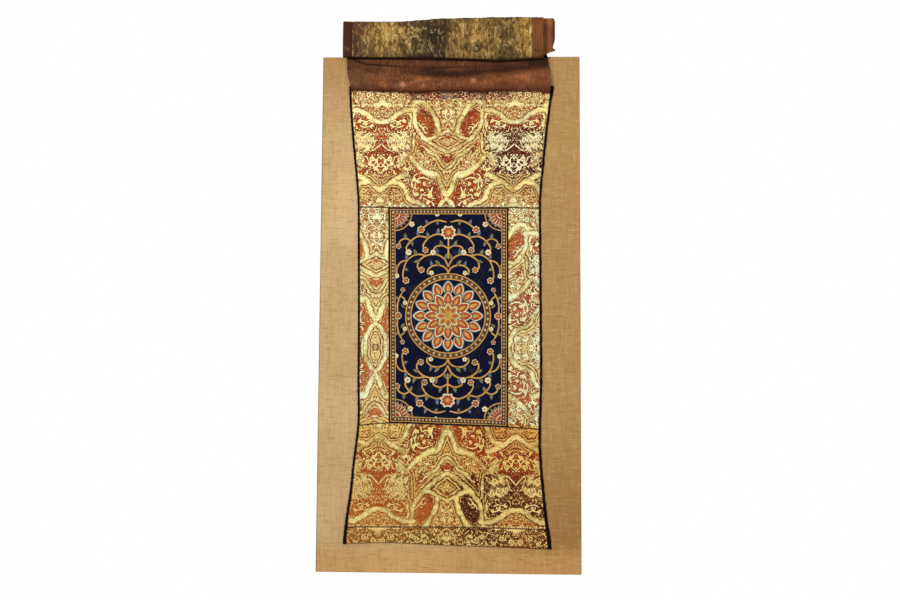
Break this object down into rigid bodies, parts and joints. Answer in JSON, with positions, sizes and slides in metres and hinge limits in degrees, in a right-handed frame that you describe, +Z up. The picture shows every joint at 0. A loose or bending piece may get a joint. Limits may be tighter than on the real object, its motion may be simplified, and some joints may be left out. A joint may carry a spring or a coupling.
{
  "type": "thangka scroll painting on linen-covered board",
  "caption": "Old silk painting in a waisted gold brocade surround, its tie-dyed veil folded over the top, mounted flat on a linen-covered hanging board.",
  "frame": {"origin": "middle of the top edge of the board's back face, where the board hangs on the wall", "axes": "+Z up, +X to the viewer's right, front faces -Y, the board's back lies on the plane Y = 0"},
  "size_m": [0.68, 0.0401, 1.4477],
  "materials": {
    "linen": "unbleached plain-weave linen, matte",
    "brocade": "silk brocade with worn gilt thread on a red-orange and maroon ground",
    "picture": "painted cotton, matte pigment on a dark indigo ground",
    "binding": "narrow indigo-black cotton binding",
    "header_silk": "thin brown silk with a soft sheen",
    "veil_silk": "thin tie-dyed silk, ochre and dark olive",
    "veil_border": "thin red-brown silk"
  },
  "bodies": {
    "root": {"backing_board": "linen", "brocade_top": "brocade", "brocade_left": "brocade", "brocade_right": "brocade", "brocade_bottom": "brocade", "picture_panel": "picture", "binding_left": "binding", "binding_right": "binding", "veil_header": "header_silk", "veil_centre": "veil_silk", "veil_border_left": "veil_border", "veil_border_right": "veil_border"}
  },
  "joints": []
}
